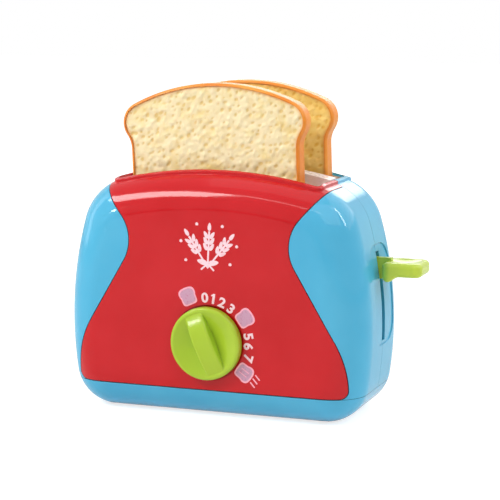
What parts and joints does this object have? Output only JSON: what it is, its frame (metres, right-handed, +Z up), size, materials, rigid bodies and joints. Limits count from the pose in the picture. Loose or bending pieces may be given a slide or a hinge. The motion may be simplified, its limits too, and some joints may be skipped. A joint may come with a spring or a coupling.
{
  "type": "toy toaster",
  "caption": "Toy pop-up toaster with rounded casing, hourglass front panel, sprung bread lift lever, timer dial and lift-out bread slices.",
  "frame": {"origin": "on the flat resting face of the base, under the middle of the casing", "axes": "+Z up, -Y towards the dial and the front panel, +X towards the lever"},
  "size_m": [0.2034, 0.0904, 0.1877],
  "materials": {
    "red_plastic": "glossy",
    "blue_plastic": "glossy",
    "green_plastic": "glossy",
    "white_plastic": "satin",
    "acetal_plastic": "satin",
    "crust_plastic": "satin",
    "crumb_plastic": "matte",
    "steel_rod": "ground",
    "spring_steel": "drawn",
    "screw_steel": "zinc plated"
  },
  "bodies": {
    "housing": {"front_panel": "red_plastic", "front_shell": "blue_plastic", "rear_shell": "blue_plastic", "base_tray": "blue_plastic", "bread_liner": "white_plastic", "guide_rod": "steel_rod", "rod_clip": "spring_steel", "timer_case": "white_plastic", "timer_cover": "white_plastic", "click_finger": "spring_steel", "latch_clip": "spring_steel", "case_screws": "screw_steel", "base_screws": "screw_steel", "timer_screws": "screw_steel"},
    "carriage": {"bread_lift": "white_plastic", "lift_spring": "spring_steel", "lever": "green_plastic"},
    "front_toast": {"front_toast_crust": "crust_plastic", "front_toast_crumb": "crumb_plastic"},
    "rear_toast": {"rear_toast_crust": "crust_plastic", "rear_toast_crumb": "crumb_plastic"},
    "dial": {"dial_knob": "green_plastic", "dial_shaft": "white_plastic", "latch_cam": "acetal_plastic", "click_wheel": "acetal_plastic"},
    "latch": {"release_latch": "acetal_plastic"}
  },
  "joints": [
    {"name": "lever_press", "type": "slide", "parent": "housing", "child": "carriage", "axis": [0, 0, 1], "range_m": [-0.034, 0], "stiffness_N_per_m": 60, "springref_m": 0.08, "deforming": ["lift_spring"]},
    {"name": "front_toast_lift", "type": "slide", "parent": "carriage", "child": "front_toast", "axis": [0, 0, 1], "range_m": [0, 0.1]},
    {"name": "rear_toast_lift", "type": "slide", "parent": "carriage", "child": "rear_toast", "axis": [0, 0, 1], "range_m": [0, 0.1]},
    {"name": "dial_turn", "type": "hinge", "parent": "housing", "child": "dial", "pos_m": [0, -0.041, 0.044], "axis": [0, 1, 0], "range_deg": [0, 150]},
    {"name": "latch_swing", "type": "hinge", "parent": "housing", "child": "latch", "pos_m": [0.05, -0.036, 0.025], "axis": [0, 1, 0], "range_deg": [0, 6]}
  ],
  "couplings": [
    {"joint": "latch_swing", "follows": "dial_turn", "ratio": 0.04}
  ]
}
